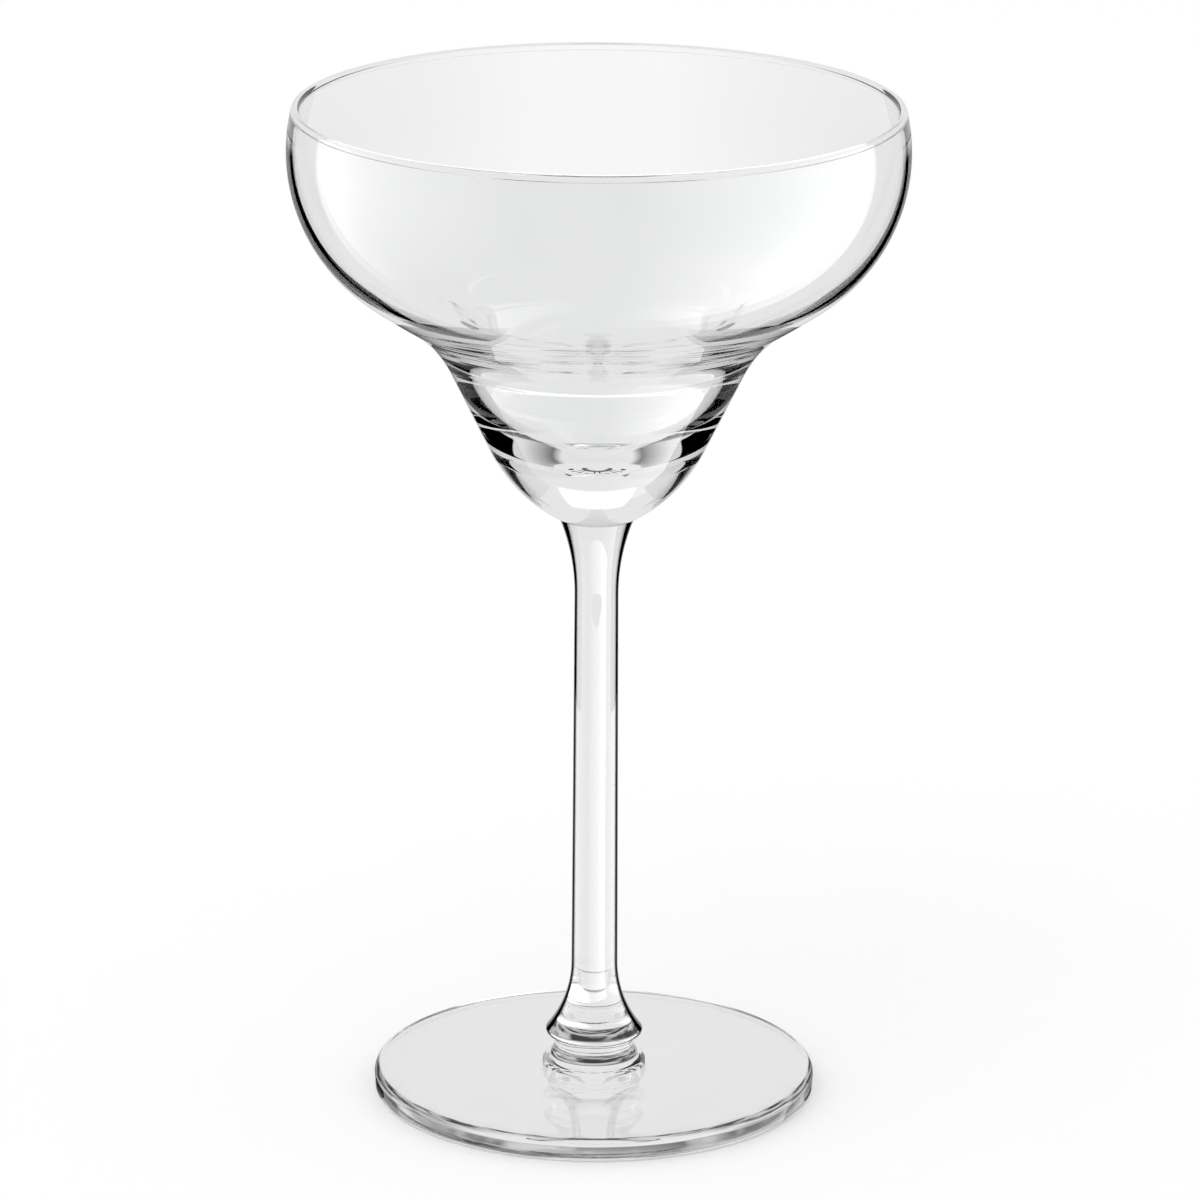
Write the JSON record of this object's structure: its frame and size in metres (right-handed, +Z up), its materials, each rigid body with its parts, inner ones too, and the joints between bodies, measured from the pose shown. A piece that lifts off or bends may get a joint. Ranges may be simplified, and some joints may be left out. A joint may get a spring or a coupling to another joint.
{
  "type": "margarita glass",
  "caption": "Stemmed cocktail glass with a wide bowl stepping down into a small round cup, a slim solid stem ending in a collar, and a flat round foot.",
  "frame": {"origin": "middle of the flat ring that the foot stands on", "axes": "+Z up along the stem's axis, which is the axis of every piece"},
  "size_m": [0.1076, 0.1076, 0.1786],
  "materials": {
    "clear_glass": "clear soda-lime glass, fire-polished"
  },
  "bodies": {
    "root": {"bowl": "clear_glass", "stem": "clear_glass", "foot": "clear_glass"}
  },
  "joints": []
}
